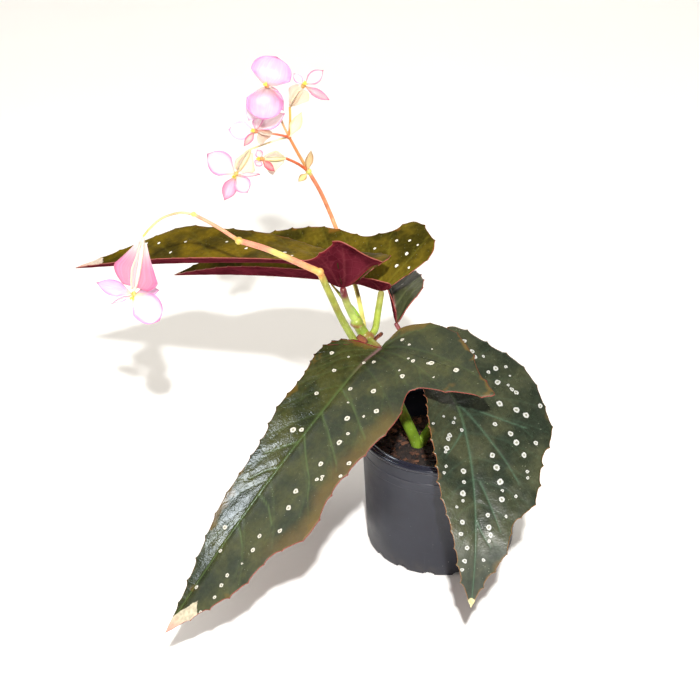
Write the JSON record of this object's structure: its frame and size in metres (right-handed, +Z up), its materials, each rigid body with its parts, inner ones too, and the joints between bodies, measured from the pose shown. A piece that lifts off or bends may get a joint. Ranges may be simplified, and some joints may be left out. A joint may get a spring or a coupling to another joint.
{
  "type": "potted begonia",
  "caption": "Cane begonia with spotted angel-wing leaves and pink winged flowers, growing in a round dark nursery pot filled with bark potting mix.",
  "frame": {"origin": "centre of the pot's flat underside, on the surface it stands on", "axes": "+Z up through the pot; +X to the right and -Y towards the viewer as the plant is seen in the picture, with the leaves reaching mostly to -X"},
  "size_m": [0.3202, 0.2952, 0.3172],
  "materials": {
    "pot": "satin charcoal moulded plastic",
    "soil": "rough reddish-brown bark mix",
    "cane": "waxy green stem",
    "leaf": "waxy olive-green blade, maroon underneath, with pale spots",
    "stalk": "smooth coral-orange flower stalk",
    "scale": "dry brown papery scale",
    "bract": "pale yellow-green bract",
    "ovary": "soft peach and pink winged ovary",
    "tepal": "soft white to lilac-pink petal",
    "heart": "matte yellow stigma"
  },
  "bodies": {
    "root": {"pot": "pot", "soil": "soil", "canes": "cane", "leaf_a": "leaf", "leaf_b": "leaf", "leaf_c": "leaf", "leaf_d": "leaf", "leaf_e": "leaf", "stalk_lower": "stalk", "stalk_upper": "stalk", "stipule_front": "scale", "stipule_side": "scale", "bract_up": "bract", "bract_down": "bract", "bract_pale": "bract", "bloom_hanging_ovary": "ovary", "bloom_hanging_tepals": "tepal", "bloom_hanging_heart": "heart", "bloom_top_ovary": "ovary", "bloom_top_tepals": "tepal", "bloom_top_heart": "heart", "bloom_right_ovary": "ovary", "bloom_right_tepals": "tepal", "bloom_right_heart": "heart", "bloom_middle_ovary": "ovary", "bloom_middle_tepals": "tepal", "bloom_middle_heart": "heart", "bloom_left_ovary": "ovary", "bloom_left_tepals": "tepal", "bloom_left_heart": "heart", "bloom_low_ovary": "ovary", "bloom_low_tepals": "tepal", "bloom_low_heart": "heart"}
  },
  "joints": []
}
